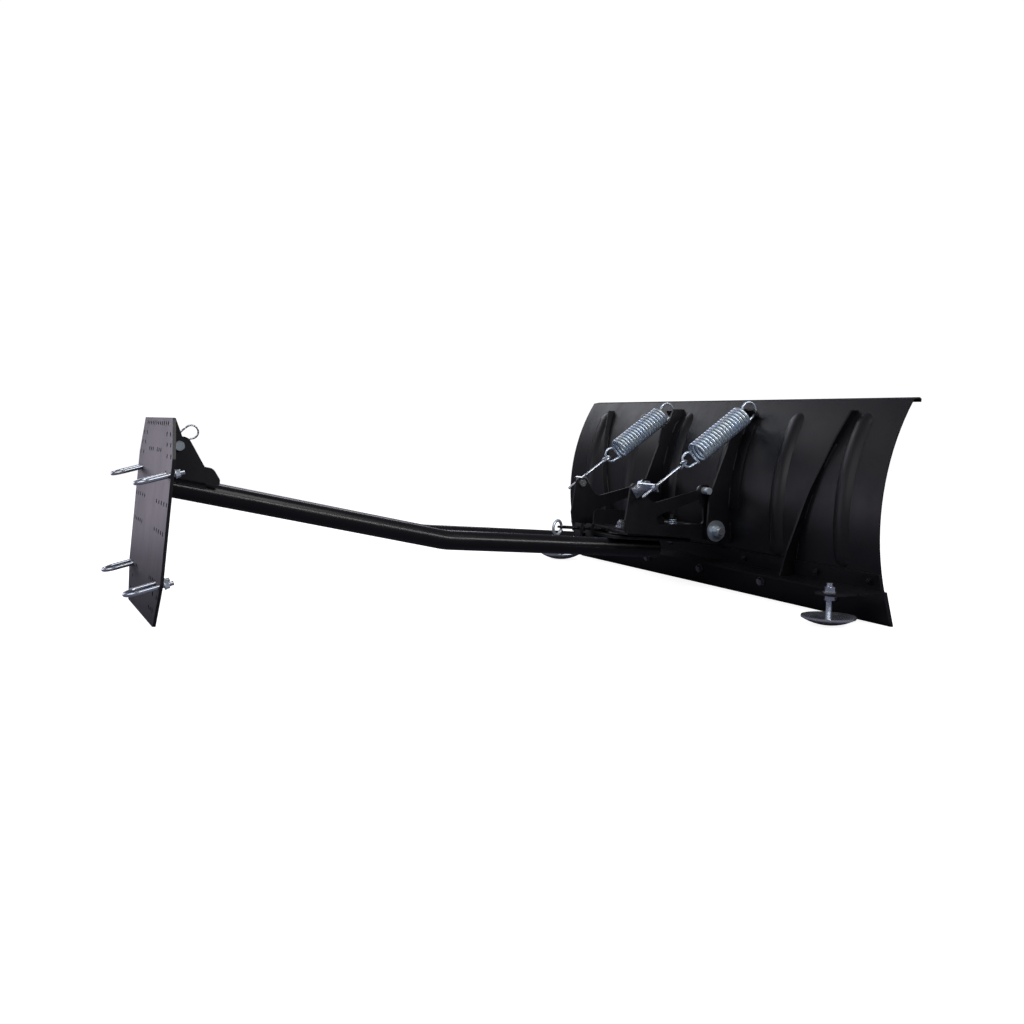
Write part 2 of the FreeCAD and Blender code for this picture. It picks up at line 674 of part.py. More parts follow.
def fan_plate():
    """Plate across the front of the tubes with the swivel's curved guide slot."""
    outline = [(FAN_REAR, -105, 12), (FAN_REAR, 105, 12), (60, 112, 0), (180, 112, 0)]
    outline += [(180, -112, 0), (60, -112, 0)]
    fan = flat(outline, FAN_LOW, FAN_TOP).common(rod(vec(0, 0, 0), Z_AXIS, FAN_RADIUS, 100))
    half = GUIDE_RADIUS + 0.5
    slot = pipe(vec(0, 0, 0), Z_AXIS, GUIDE_X + half, GUIDE_X - half, 100)
    reach = math.radians(SWIVEL_STOP)
    far = 2 * GUIDE_X
    wedge = [(0, 0, 0), (far, -far * math.tan(reach), 0), (far, far * math.tan(reach), 0)]
    slot = slot.common(flat(wedge, 0, 100))
    for side in (-1, 1):
        end = vec(GUIDE_X * math.cos(reach), side * GUIDE_X * math.sin(reach), 0)
        slot = slot.fuse(rod(end, Z_AXIS, half, 100))
    fan = fan.cut(slot)
    return on_deck(fan.cut(rod(vec(0, 0, 0), Z_AXIS, KINGPIN + RUNNING, 100)))


def wear_washer():
    return on_deck(pipe(vec(0, 0, FAN_TOP), Z_AXIS, 30, KINGPIN, WEAR_THICKNESS))


def kingpin():
    head = nut(vec(0, 0, FAN_LOW), Z_AXIS * -1, 19, 8, 0)
    return on_deck(head.fuse(rod(vec(0, 0, FAN_LOW), Z_AXIS, KINGPIN, 38)))


def kingpin_nut():
    seat = BASE_TOP + 4.1
    washer = pipe(vec(0, 0, seat), Z_AXIS, 13, KINGPIN, 2.5)
    return on_deck(washer.fuse(nut(vec(0, 0, seat + 2.5), Z_AXIS, 19, 10, KINGPIN)))


def tube_path(y):
    bend_z = DECK_Z + (DECK_X - BEND_X) * math.tan(math.radians(DECK_SLOPE))
    rear_x = -1380.0
    rear_z = bend_z + (BEND_X - rear_x) * math.tan(math.radians(REAR_SLOPE))
    slope = math.radians(DECK_SLOPE)
    front = vec(DECK_X + TUBE_FRONT * math.cos(slope), y, DECK_Z - TUBE_FRONT * math.sin(slope))
    return bent_path([front, vec(BEND_X, y, bend_z), vec(rear_x, y, rear_z)], BEND_RADIUS)


def behind_plate():
    """Everything behind a plane a millimetre in front of the mount plate's face."""
    return on_plate(box(-200, PLATE_THICKNESS / 2 + 1, -400, 400, -300, 700))


def push_tube():
    outer = sweep(tube_path(TUBE_Y), TUBE_RADIUS)
    inner = sweep(tube_path(TUBE_Y), TUBE_RADIUS - TUBE_WALL)
    return outer.cut(inner).cut(behind_plate())


def tube_plug():
    start = vec(TUBE_FRONT - 4, TUBE_Y, 0)
    return on_deck(rod(start, X_AXIS, TUBE_RADIUS - TUBE_WALL, 4))


def tube_body(y):
    return sweep(tube_path(y), TUBE_RADIUS)


def hinge_tang():
    """Plate standing on one tube that carries the hinge sleeve."""
    outline = [(-1332, 353, 17), (-1296, 353, 17), (-1262, 290, 20), (-1262, 242, 0), (-1332, 256, 0)]
    tang = plate(outline, TANG_IN, TANG_OUT).cut(tube_body(TUBE_Y))
    return tang.cut(rod(vec(HITCH_X, 0, HITCH_Z), Y_AXIS, HITCH_RADIUS + RUNNING, 200))


def hinge_sleeve():
    start = vec(HITCH_X, -TANG_IN, HITCH_Z)
    return pipe(start, Y_AXIS, 13, HITCH_RADIUS + RUNNING, 2 * TANG_IN)


def rear_cross_tube():
    tube = pipe(vec(-1240, -TUBE_Y, 238.4), Y_AXIS, 12.5, 10.5, 2 * TUBE_Y)
    return tube.cut(tube_body(TUBE_Y)).cut(tube_body(-TUBE_Y))


def lock_bar():
    """Flat bar between the tubes that carries the lock pin's housing."""
    bar = on_deck(box(-119, -80, -TUBE_Y, TUBE_Y, -4, 3))
    return bar.cut(tube_body(TUBE_Y)).cut(tube_body(-TUBE_Y))


def lock_level():
    return (BASE_LOW + BASE_TOP) / 2


def lock_housing():
    """Small open box with a guide hole in each end wall."""
    house = box(-119, -81, -14, 14, 3, 9)
    house = house.fuse(box(-119, -112, -14, 14, 9, 47))
    house = house.fuse(box(-88, -81, -14, 14, 9, 47))
    start = vec(-130, 0, lock_level())
    return on_deck(house.cut(rod(start, X_AXIS, LOCK_PIN + RUNNING, 60)))


def lock_pin():
    level = lock_level()
    pin = rod(vec(-158, 0, level), X_AXIS, LOCK_PIN, 101)
    pin = pin.fuse(rod(vec(-105, 0, level), X_AXIS, 8, 3))
    eye = rod(vec(-163.3, 0, level - 2.5), Z_AXIS, 9.5, 5)
    pin = pin.fuse(eye).cut(rod(vec(-163.3, 0, level - 10), Z_AXIS, 5, 20))
    return on_deck(pin)


def lock_spring():
    spring = coil(6.2, 0.6, -111.2, -105.8, 4)
    spring.rotate(vec(0, 0, 0), Y_AXIS, 90)
    spring.translate(vec(0, 0, lock_level()))
    return on_deck(spring)


def pull_ring():
    turn = math.radians(RING_TURN)
    level = lock_level() - 1.2
    centre = vec(-163.3 - RING_RADIUS * math.cos(turn), RING_RADIUS * math.sin(turn), level)
    square = vec(math.sin(turn), math.cos(turn), 0)
    return on_deck(Part.makeTorus(RING_RADIUS, RING_WIRE, centre, square))


def mount_plate():
    """Long eight-sided plate with rows of clamp holes."""
    half = PLATE_HALF
    end = PLATE_END_HALF
    outline = [(-end, 0, 6), (end, 0, 6), (half, PLATE_CHAMFER_LOW, 6), (half, PLATE_CHAMFER_HIGH, 6)]
    outline += [(end, PLATE_HEIGHT, 6), (-end, PLATE_HEIGHT, 6), (-half, PLATE_CHAMFER_HIGH, 6)]
    outline.append((-half, PLATE_CHAMFER_LOW, 6))
    sheet = plate(outline, -PLATE_THICKNESS / 2, PLATE_THICKNESS / 2)
    sheet.rotate(vec(0, 0, 0), Z_AXIS, 90)
    rows = [(379, (12, 36, 60, 84, 108, 132)), (359, (128, 169)), (339, (142, 183)), (318, (154, 197))]
    rows += [(327, (27, 50, 73)), (229, (80, 110, 140, 170, 200)), (175, (86, 112, 138, 164, 190))]
    rows += [(81, (80, 101, 122, 142)), (57, (140, 188)), (27, (108, 131, 154))]
    holes = []
    for height, offsets in rows:
        for offset in offsets:
            for y in (-offset, offset):
                holes.append(rod(vec(-10, y, height), X_AXIS, SLOT_HOLE, 20))
    for height in U_BOLT_LEVELS:
        for y in (U_BOLT_Y - U_BOLT_HALF, U_BOLT_Y + U_BOLT_HALF):
            for side in (-1, 1):
                holes.append(rod(vec(-10, side * y, height), X_AXIS, 6, 20))
    return on_plate(sheet.cut(Part.makeCompound(holes)))


def u_bolt(level):
    """Frame clamp that sags a little in its clearance holes."""
    droop = math.radians(U_BOLT_DROOP)
    back = vec(-math.cos(droop), 0, -math.sin(droop))
    corner = U_BOLT_REACH + U_BOLT_HALF
    low = vec(0, U_BOLT_Y - U_BOLT_HALF, level)
    high = vec(0, U_BOLT_Y + U_BOLT_HALF, level)
    points = [low - back * 24, low + back * corner, high + back * corner, high - back * 24]
    return on_plate(sweep(bent_path(points, U_BOLT_HALF - 0.02), U_BOLT_WIRE))


def u_bolt_nuts(level):
    droop = math.radians(U_BOLT_DROOP)
    forward = vec(math.cos(droop), 0, math.sin(droop))
    nuts = []
    for y in (U_BOLT_Y - U_BOLT_HALF, U_BOLT_Y + U_BOLT_HALF):
        start = vec(0, y, level) + forward * 6.6
        flange = pipe(start, forward, 8.5, U_BOLT_WIRE, 2)
        nuts.append(on_plate(flange.fuse(nut(start + forward * 2, forward, 13, 7, U_BOLT_WIRE))))
    return nuts


def mount_ear():
    """Hinge ear with a straight slope, a hollow and a rounded nose."""
    outline = [(-1360, 388.5, 0), (-1321, 388.5, 3), (-1290, 300, 14), (-1250, 292, 16)]
    outline += [(-1237, 270, 10), (-1238, 258, 4), (-1360, 281, 0)]
    ear = plate(outline, EAR_IN, EAR_OUT)
    ear = ear.cut(on_plate(box(-200, PLATE_THICKNESS / 2, -400, 400, -300, 700)))
    return ear.cut(rod(vec(HITCH_X, 0, HITCH_Z), Y_AXIS, HITCH_RADIUS + RUNNING, 200))


def clip_frame(shape):
    return turned(shape, -10, HITCH_X, HITCH_Z)


def hitch_pin():
    pin = rod(vec(HITCH_X, -EAR_OUT - 0.5, HITCH_Z), Y_AXIS, HITCH_RADIUS, 2 * EAR_OUT + 16)
    head = Part.makeCone(10, 9, 5.5, vec(HITCH_X, -EAR_OUT - 0.5, HITCH_Z), Y_AXIS * -1)
    hole = clip_frame(rod(vec(-20, EAR_OUT + 10, 0), X_AXIS, CLIP_WIRE + 0.3, 40))
    return pin.fuse(head).cut(hole)


def r_clip():
    """Spring clip: straight leg through the pin, round loop, bowed arm over the pin."""
    y = EAR_OUT + 10
    reach = CLIP_REACH
    loop_radius = CLIP_LOOP
    leg = Part.makeLine(vec(-18, y, 0), vec(reach, y, 0))
    turn = math.radians(120)
    far = vec(reach + loop_radius * math.cos(turn), y, loop_radius + loop_radius * math.sin(turn))
    side = vec(reach + loop_radius, y, loop_radius)
    loop = Part.Arc(vec(reach, y, 0), side, far).toShape()
    arm = Part.BSplineCurve()
    points = [far, vec(43, y, 18.5), vec(34, y, 11.6), vec(25, y, 8.9), vec(13, y, 10.9)]
    points += [vec(0, y, 13.0), vec(-13, y, 14.8)]
    leave = vec(-52, 0, -30)
    arm.interpolate(Points=points, InitialTangent=leave, FinalTangent=vec(-50, 0, 10))
    return clip_frame(sweep(Part.Wire([leg, loop, arm.toShape()]), CLIP_WIRE))


def main():
    os.makedirs("parts", exist_ok=True)
    save("moldboard", moldboard())
    save("wear_bar", wear_bar())
    save("wear_bar_bolts", *wear_bar_bolts())
    save("wear_bar_nuts", *wear_bar_nuts())
    save("shelf_angle", shelf_angle())
    save("shelf_bolts", *shelf_bolts())
    save_both("skid_tabs", skid_tab())
    save_pair("skid", skid())
    save_pair("skid_nuts", *skid_nuts())
    save_pair("brace", brace())
    save_pair("trip_lug", trip_lug())
    near_flange = flipped(lug_flange(LUG_OUT, LUG_OUT + FLANGE_OUT))
    save("lug_flanges", lug_flange(LUG_IN - FLANGE_IN, LUG_IN), near_flange)
    save_pair("trip_spring", trip_spring())
    save("eyebolt_left", eyebolt(0))
    save("eyebolt_right", flipped(eyebolt(EYE_TURN_RIGHT)))
    save_both("eyebolt_nuts", *eyebolt_nuts())
    save_pair("spring_bracket", spring_bracket())
    save_both("bracket_bolts", *bracket_bolt())
    save_pair("side_plate", side_plate())
    save_both("stop_bolts", stop_bolt())
    save_pair("trip_bolt", trip_bolt())
    save_both("trip_nuts", trip_nut())
    save_both("trip_bushes", trip_bush())
    save("trip_sleeve", trip_sleeve())
    save("swivel_base", swivel_base())
    save("inner_channel", inner_channel())
    save("guide_bolt", guide_bolt())
    save("guide_nut", guide_nut())
    save("guide_spring", guide_spring())
    save("fan_plate", fan_plate())
    save("wear_washer", wear_washer())
    save("kingpin", kingpin())
    save("kingpin_nut", kingpin_nut())
    save_pair("push_tube", push_tube())
    save_both("tube_plugs", tube_plug())
    save_both("hinge_tangs", hinge_tang())
    save("hinge_sleeve", hinge_sleeve())
    save("cross_members", rear_cross_tube(), lock_bar())
    save("lock_housing", lock_housing())
    save("lock_pin", lock_pin())
    save("lock_spring", lock_spring())
    save("pull_ring", pull_ring())
    save("mount_plate", mount_plate())
    save_pair("mount_ear", mount_ear())
    low, high = U_BOLT_LEVELS
    save_both("u_bolts_lower", u_bolt(low))
    save_both("u_bolts_upper", u_bolt(high))
    save_both("u_bolt_nuts", *u_bolt_nuts(low), *u_bolt_nuts(high))
    save("hitch_pin", hitch_pin())
    save("r_clip", r_clip())


main()
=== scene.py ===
import json
import math

import bpy
from mathutils import Matrix, Vector


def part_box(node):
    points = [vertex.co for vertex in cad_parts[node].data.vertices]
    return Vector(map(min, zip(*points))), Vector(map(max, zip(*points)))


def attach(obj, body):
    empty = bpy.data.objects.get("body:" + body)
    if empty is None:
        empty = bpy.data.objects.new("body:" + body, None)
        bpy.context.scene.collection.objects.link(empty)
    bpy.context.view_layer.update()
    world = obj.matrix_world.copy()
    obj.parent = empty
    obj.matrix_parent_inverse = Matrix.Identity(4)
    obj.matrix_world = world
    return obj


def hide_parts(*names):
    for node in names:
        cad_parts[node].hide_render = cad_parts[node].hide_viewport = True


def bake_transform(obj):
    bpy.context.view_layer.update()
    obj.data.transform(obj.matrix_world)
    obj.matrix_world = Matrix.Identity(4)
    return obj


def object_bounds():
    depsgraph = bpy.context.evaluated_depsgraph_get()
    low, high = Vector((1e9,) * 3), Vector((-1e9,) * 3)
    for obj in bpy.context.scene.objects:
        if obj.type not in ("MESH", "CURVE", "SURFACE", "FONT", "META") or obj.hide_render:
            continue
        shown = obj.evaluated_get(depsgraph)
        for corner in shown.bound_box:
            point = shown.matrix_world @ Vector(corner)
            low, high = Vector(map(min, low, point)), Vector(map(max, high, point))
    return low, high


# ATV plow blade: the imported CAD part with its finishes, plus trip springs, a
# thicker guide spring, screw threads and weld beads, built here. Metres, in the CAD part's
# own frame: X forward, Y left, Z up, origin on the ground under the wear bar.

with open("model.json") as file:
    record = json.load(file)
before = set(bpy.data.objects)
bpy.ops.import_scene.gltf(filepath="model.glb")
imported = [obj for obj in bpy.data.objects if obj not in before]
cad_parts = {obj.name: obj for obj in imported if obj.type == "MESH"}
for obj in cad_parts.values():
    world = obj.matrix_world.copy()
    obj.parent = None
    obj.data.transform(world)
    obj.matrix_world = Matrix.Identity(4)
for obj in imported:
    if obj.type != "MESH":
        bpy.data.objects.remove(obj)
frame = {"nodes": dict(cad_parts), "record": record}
cad_low, cad_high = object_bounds()
nodes = frame["nodes"]

MM = 0.001
ACROSS = Vector((0, 1, 0))
DECK_LEAN = math.radians(3.5)

# ---------------------------------------------------------------- materials

DUST_BRIGHTNESS = 3.0
RUBBED_METAL = (0.13, 0.13, 0.14)
RUBBED_WIDTH = 0.9 * MM
STAIN_DARKNESS = 0.55
COOL_TINT = (0.92, 0.97, 1.07)
WARM_TINT = (1.03, 1.0, 0.95)


class Nodes:
    """Short-hand for building one material's node tree."""

    def __init__(self, name):
        self.material = bpy.data.materials.new(name)
        self.material.use_nodes = True
        self.tree = self.material.node_tree
        self.tree.nodes.clear()
        self.output = self.add("ShaderNodeOutputMaterial")
        self.shader = self.add("ShaderNodeBsdfPrincipled")
        self.link(self.shader, "BSDF", self.output, "Surface")
        self.place = self.add("ShaderNodeTexCoord")

    def add(self, kind, **values):
        node = self.tree.nodes.new(kind)
        for key, value in values.items():
            if key in node.inputs:
                node.inputs[key].default_value = value
            else:
                setattr(node, key, value)
        return node

    def link(self, a, out, b, into):
        self.tree.links.new(a.outputs[out], b.inputs[into])

    def noise(self, scale, detail, rough, stretch=None):
        node = self.add("ShaderNodeTexNoise", Scale=scale, Detail=detail, Roughness=rough)
        if stretch:
            mapping = self.add("ShaderNodeMapping")
            mapping.inputs["Scale"].default_value = stretch
            self.link(self.place, "Object", mapping, "Vector")
            self.link(mapping, "Vector", node, "Vector")
        else:
            self.link(self.place, "Object", node, "Vector")
        return node

    def ramp(self, source, stops, values=(0.0, 1.0), out="Fac"):
        """Map a signal between two stops to a range of plain values."""
        node = self.add("ShaderNodeMapRange")
        node.inputs["From Min"].default_value = stops[0]
        node.inputs["From Max"].default_value = stops[1]
        node.inputs["To Min"].default_value = values[0]
        node.inputs["To Max"].default_value = values[1]
        self.link(source, out, node, "Value")
        return node

    def mix(self, factor, a, b, out=0):
        """Colour socket between two colours, each a tuple or a socket."""
        node = self.add("ShaderNodeMix", data_type="RGBA")
        for key, value in (("A", a), ("B", b)):
            socket = [s for s in node.inputs if s.name == key and s.type == "RGBA"][0]
            if isinstance(value, tuple):
                socket.default_value = value + (1.0,)
            else:
                self.tree.links.new(value, socket)
        self.tree.links.new(factor.outputs[out], node.inputs[0])
        return [s for s in node.outputs if s.type == "RGBA"][0]

    def math(self, operation, a, b):
        node = self.add("ShaderNodeMath", operation=operation)
        for index, value in enumerate((a, b)):
            if isinstance(value, (int, float)):
                node.inputs[index].default_value = value
            else:
                self.tree.links.new(value, node.inputs[index])
        return node

    def edges(self, width):
        """Mask that is 1 on sharp edges, broken up by noise."""
        bevel = self.add("ShaderNodeBevel", samples=4, Radius=width)
        plain = self.add("ShaderNodeNewGeometry")
        dot = self.add("ShaderNodeVectorMath", operation="DOT_PRODUCT")
        self.tree.links.new(bevel.outputs["Normal"], dot.inputs[0])
        self.tree.links.new(plain.outputs["Normal"], dot.inputs[1])
        sharp = self.ramp(dot, (0.99, 0.80), out="Value")
        broken = self.ramp(self.noise(scale=160.0, detail=4.0, rough=0.65), (0.42, 0.66))
        return self.math("MULTIPLY", sharp.outputs[0], broken.outputs[0])

    def colour(self, socket):
        self.tree.links.new(socket, self.shader.inputs["Base Color"])

    def roughness(self, base, extra):
        """Roughness from two ramps added together."""
        total = self.math("ADD", base.outputs[0], extra.outputs[0])
        self.tree.links.new(total.outputs[0], self.shader.inputs["Roughness"])

    def bump(self, parts):
        """Chain of bumps, each (noise node, strength, distance in metres)."""
        previous = None
        for source, strength, distance in parts:
            node = self.add("ShaderNodeBump", Strength=strength, Distance=distance)
            self.link(source, "Fac", node, "Height")
            if previous:
                self.link(previous, "Normal", node, "Normal")
            previous = node
        self.link(previous, "Normal", self.shader, "Normal")


def powder_coat(name, dark, light, rough, worn=0.35, streaky=0.05):
    """Satin black coating: fine orange peel, soft blotches, rubbed edges and a little dust."""
    m = Nodes(name)
    blotch = m.noise(scale=7.0, detail=4.0, rough=0.55)
    dust = m.noise(scale=650.0, detail=2.0, rough=0.5)
    peel = m.noise(scale=420.0, detail=1.5, rough=0.45)
    streak = m.noise(scale=60.0, detail=3.0, rough=0.6, stretch=(1.0, 1.0, 0.08))
    dusty = tuple(DUST_BRIGHTNESS * c for c in light)
    colour = m.mix(m.ramp(blotch, (0.30, 0.70)), dark, light)
    colour = m.mix(m.ramp(dust, (0.62, 0.80), (0.0, 0.35)), colour, dusty)
    wear = m.math("MULTIPLY", m.edges(RUBBED_WIDTH).outputs[0], worn)
    m.colour(m.mix(wear, colour, RUBBED_METAL))
    m.roughness(m.ramp(blotch, (0.3, 0.7), rough), m.ramp(streak, (0.45, 0.75), (0.0, streaky)))
    m.shader.inputs["Specular IOR Level"].default_value = 0.5
    m.bump([(peel, 0.16, 0.4 * MM), (dust, 0.10, 0.1 * MM)])
    return m.material


def zinc_plate(name, tone, rough, brushed=(1.0, 5.0, 0.25), metal=0.85):
    """Bright plating: soft mottle, faint blue and yellow tints, fine scratches."""
    m = Nodes(name)
    cloud = m.noise(scale=38.0, detail=3.0, rough=0.5)
    fine = m.noise(scale=900.0, detail=2.0, rough=0.5)
    scratch = m.noise(scale=220.0, detail=3.0, rough=0.6, stretch=brushed)
    spots = m.noise(scale=90.0, detail=4.0, rough=0.6)
    cool = tuple(t * k for t, k in zip(tone, COOL_TINT))
    warm = tuple(t * k for t, k in zip(tone, WARM_TINT))
    stained = tuple(t * STAIN_DARKNESS for t in tone)
    colour = m.mix(m.ramp(cloud, (0.35, 0.65)), cool, warm)
    m.colour(m.mix(m.ramp(spots, (0.60, 0.82), (0.0, 0.25)), colour, stained))
    m.shader.inputs["Metallic"].default_value = metal
    m.roughness(m.ramp(cloud, (0.3, 0.7), rough), m.ramp(scratch, (0.45, 0.75), (0.0, 0.08)))
    m.bump([(scratch, 0.02, 0.1 * MM), (fine, 0.02, 0.05 * MM)])
    return m.material


def moulded_plastic(name):
    """Matt black plastic with a fine grain."""
    m = Nodes(name)
    blotch = m.noise(scale=40.0, detail=3.0, rough=0.5)
    fine = m.noise(scale=1400.0, detail=2.0, rough=0.5)
    m.colour(m.mix(m.ramp(blotch, (0.3, 0.7)), (0.008, 0.008, 0.009), (0.016, 0.016, 0.017)))
    m.link(m.ramp(blotch, (0.3, 0.7), (0.55, 0.7)), 0, m.shader, "Roughness")
    m.bump([(fine, 0.25, 0.2 * MM)])
    return m.material


COAT = powder_coat(
    "coat_blade", dark=(0.0026, 0.0026, 0.0042), light=(0.0050, 0.0049, 0.0074), rough=(0.34, 0.46)
)
TUBE_COAT = powder_coat(
    "coat_tube", dark=(0.0028, 0.0028, 0.0038), light=(0.0050, 0.0050, 0.0064), rough=(0.20, 0.27)
)
# Mount plate: the same black coat made lighter and purple-tinted, a painted sheen of the lit plate;
# the rubbed edges and blotches are wear and tone
SHEEN_PLATE_COAT = powder_coat(
    "coat_plate_painted_sheen", dark=(0.0080, 0.0066, 0.0090), light=(0.0125, 0.0104, 0.0138), rough=(0.34, 0.42),
    worn=0.5, streaky=0.02
)
BOLT_COAT = powder_coat(
    "coat_bolt", dark=(0.0040, 0.0040, 0.0052), light=(0.0075, 0.0075, 0.0088), rough=(0.26, 0.38),
    worn=0.8
)
ZINC = zinc_plate("zinc_bright", tone=(0.68, 0.71, 0.76), rough=(0.14, 0.24))
SPRING = zinc_plate(
    "zinc_spring", tone=(0.76, 0.86, 0.94), rough=(0.18, 0.28), brushed=(6.0, 6.0, 0.3), metal=0.68
)
STEEL = zinc_plate("bare_steel", tone=(0.40, 0.40, 0.42), rough=(0.28, 0.42))
SATIN_ZINC = zinc_plate("zinc_satin", tone=(0.80, 0.86, 0.90), rough=(0.34, 0.48), metal=0.7)
WASHER_ZINC = zinc_plate("zinc_washer", tone=(0.55, 0.61, 0.65), rough=(0.28, 0.40), metal=0.8)
DULL_ZINC = zinc_plate("zinc_dull", tone=(0.36, 0.37, 0.40), rough=(0.26, 0.40))
PLUG = moulded_plastic("plug_plastic")

SLOT_FINISH = {
    "black_coat": COAT,
    "zinc_plate": ZINC,
    "spring_wire": SPRING,
    "bare_steel": STEEL,
    "end_plug": PLUG,
}
OWN_FINISH = {
    "push_tube_left": TUBE_COAT,
    "push_tube_right": TUBE_COAT,
    "mount_plate": SHEEN_PLATE_COAT,
    "shelf_bolts": BOLT_COAT,
    "wear_bar_nuts": DULL_ZINC,
    "wear_bar_bolts": DULL_ZINC,
    "guide_bolt": BOLT_COAT,
    "lock_pin": BOLT_COAT,
    "lock_spring": BOLT_COAT,
    "hitch_pin": WASHER_ZINC,
    "trip_nuts": WASHER_ZINC,
    "trip_sleeve": BOLT_COAT,
    "u_bolt_nuts": SATIN_ZINC,
    "stop_bolts": SATIN_ZINC,
    "pull_ring": SATIN_ZINC,
}

slot_of = {s["node"]: s["material_slot"] for s in frame["record"]["subparts"]}
for node_name, node in nodes.items():
    finish = OWN_FINISH.get(node_name, SLOT_FINISH[slot_of[node_name]])
    node.data.materials.clear()
    node.data.materials.append(finish)

# ---------------------------------------------------------------- mesh building


def make_object(name, vertices, faces, material):
    mesh = bpy.data.meshes.new(name)
    mesh.from_pydata([tuple(v) for v in vertices], [], faces)
    mesh.update()
    mesh.materials.append(material)
    mesh.polygons.foreach_set("use_smooth", [True] * len(mesh.polygons))
    piece = bpy.data.objects.new(name, mesh)
    bpy.context.scene.collection.objects.link(piece)
    return piece


def tube_faces(rings, sides):
    """Faces that join rings of vertices into a round bar with capped ends."""
    faces = []
    for k in range(rings - 1):
        for j in range(sides):
            a = k * sides + j
            b = k * sides + (j + 1) % sides
            faces.append((a, b, b + sides, a + sides))
    faces.append(tuple(range(sides - 1, -1, -1)))
    faces.append(tuple(range((rings - 1) * sides, rings * sides)))
    return faces


def swept(points, radii, sides):
    """Vertices and faces of a round bar along a path, with one radius per point."""
    vertices = []
    tangent = (points[1] - points[0]).normalized()
    side = tangent.orthogonal().normalized()
    for k, point in enumerate(points):
        ahead = points[min(k + 1, len(points) - 1)]
        behind = points[max(k - 1, 0)]
        tangent = (ahead - behind).normalized()
        side = (side - tangent * side.dot(tangent)).normalized()
        up = tangent.cross(side)
        for j in range(sides):
            angle = 2 * math.pi * j / sides
            vertices.append(point + (side * math.cos(angle) + up * math.sin(angle)) * radii[k])
    return vertices, tube_faces(len(points), sides)


def smooth_path(points, steps):
    """Catmull-Rom curve through the given points."""
    padded = [points[0] * 2 - points[1]] + list(points) + [points[-1] * 2 - points[-2]]
    path = []
    for k in range(1, len(padded) - 2):
        a, b, c, d = padded[k - 1:k + 3]
        for j in range(steps):
            t = j / steps
            path.append(0.5 * (2 * b + (c - a) * t + (2 * a - 5 * b + 4 * c - d) * t * t
                               + (3 * b - a - 3 * c + d) * t * t * t))
    path.append(points[-1])
    return path


def spread(first, last, count):
    return [first + (last - first) * k / (count - 1) for k in range(count)]


# ---------------------------------------------------------------- trip springs

HOOK_RADIUS = 17.0 * MM
HOOK_WIRE = 2.8 * MM
HOOK_ANGLES = range(-150, 91, 15)
TOP_HOOK_RADIUS = 19.4 * MM
TOP_HOOK_DROP = 2.0 * MM
COIL_WIRE = 3.3 * MM
COIL_RADIUS = 23.2 * MM
COIL_TURNS = 17
COIL_TURN_STEPS = 20
HOOK_ABOVE_COIL = 26.0 * MM
HOOK_BELOW_COIL = 25.0 * MM
JOIN_STEPS = 4
SPRING_SIDES = 12
# Wire from a hook to the coil: share of the way along, then mm sideways and mm across.
LOW_JOIN = ((0.34, 17.8, 0.2), (0.62, 19.4, 0.8), (0.864, 22.2, 2.6))
TOP_JOIN = ((0.34, 19.8, 0.2), (0.62, 20.8, 0.8), (0.864, 22.4, 2.6))


def spring_ends(side):
    """Centres of the CAD spring's lower and upper hooks."""
    low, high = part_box("trip_spring_" + side)
    y = (low.y + high.y) / 2
    reach = HOOK_RADIUS + HOOK_WIRE
    bottom = Vector((low.x + reach, y, low.z + reach))
    top = Vector((high.x - reach, y, high.z - reach))
    return bottom, top


def trip_spring(side):
    """Close-wound spring with hooks, from the swivel's eyebolt to the lug's tab."""
    node_name = "trip_spring_" + side
    bottom, top = spring_ends(side)
    length = (top - bottom).length
    along = (top - bottom).normalized()
    lateral = ACROSS.cross(along)
    coil_low = HOOK_BELOW_COIL
    coil_high = length - HOOK_ABOVE_COIL

    def at(height, sideways, across=0.0):
        return bottom + along * height + lateral * sideways + ACROSS * across

    def hook(centre, sign, radius):
        turn = [math.radians(a) for a in HOOK_ANGLES]
        return [at(centre - sign * radius * math.cos(a), radius * math.sin(a)) for a in turn]

    low_hook = hook(0.0, 1, HOOK_RADIUS)
    top_hook = hook(length - TOP_HOOK_DROP, -1, TOP_HOOK_RADIUS)[::-1]
    leave = [at(HOOK_BELOW_COIL * z, x * MM, y * MM) for z, x, y in LOW_JOIN]
    enter = [at(length - HOOK_ABOVE_COIL * z, x * MM, -y * MM) for z, x, y in reversed(TOP_JOIN)]
    steps = COIL_TURNS * COIL_TURN_STEPS
    coil = []
    for k in range(2, steps - 1):
        angle = 2 * math.pi * k / COIL_TURN_STEPS
        height = coil_low + (coil_high - coil_low) * k / steps
        coil.append(at(height, COIL_RADIUS * math.cos(angle), COIL_RADIUS * math.sin(angle)))
    path = low_hook + smooth_path([low_hook[-1]] + leave + [coil[0]], JOIN_STEPS)[1:] + coil[1:]
    path += smooth_path([coil[-1]] + enter + [top_hook[0]], JOIN_STEPS)[1:] + top_hook[1:]
    heights = [(point - bottom).dot(along) for point in path]
    radii = [COIL_WIRE if coil_low < height < coil_high else HOOK_WIRE for height in heights]
    vertices, faces = swept(path, radii, SPRING_SIDES)
    piece = make_object(node_name + "_coil", vertices, faces, SPRING)
    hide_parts(node_name)
    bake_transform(piece)


for side in ("left", "right"):
    trip_spring(side)

# ---------------------------------------------------------------- guide spring

GUIDE_SPRING_TURNS = 6
GUIDE_TURN_STEPS = 16
GUIDE_SPRING_WIRE = 1.5 * MM
GUIDE_SPRING_SIDES = 10


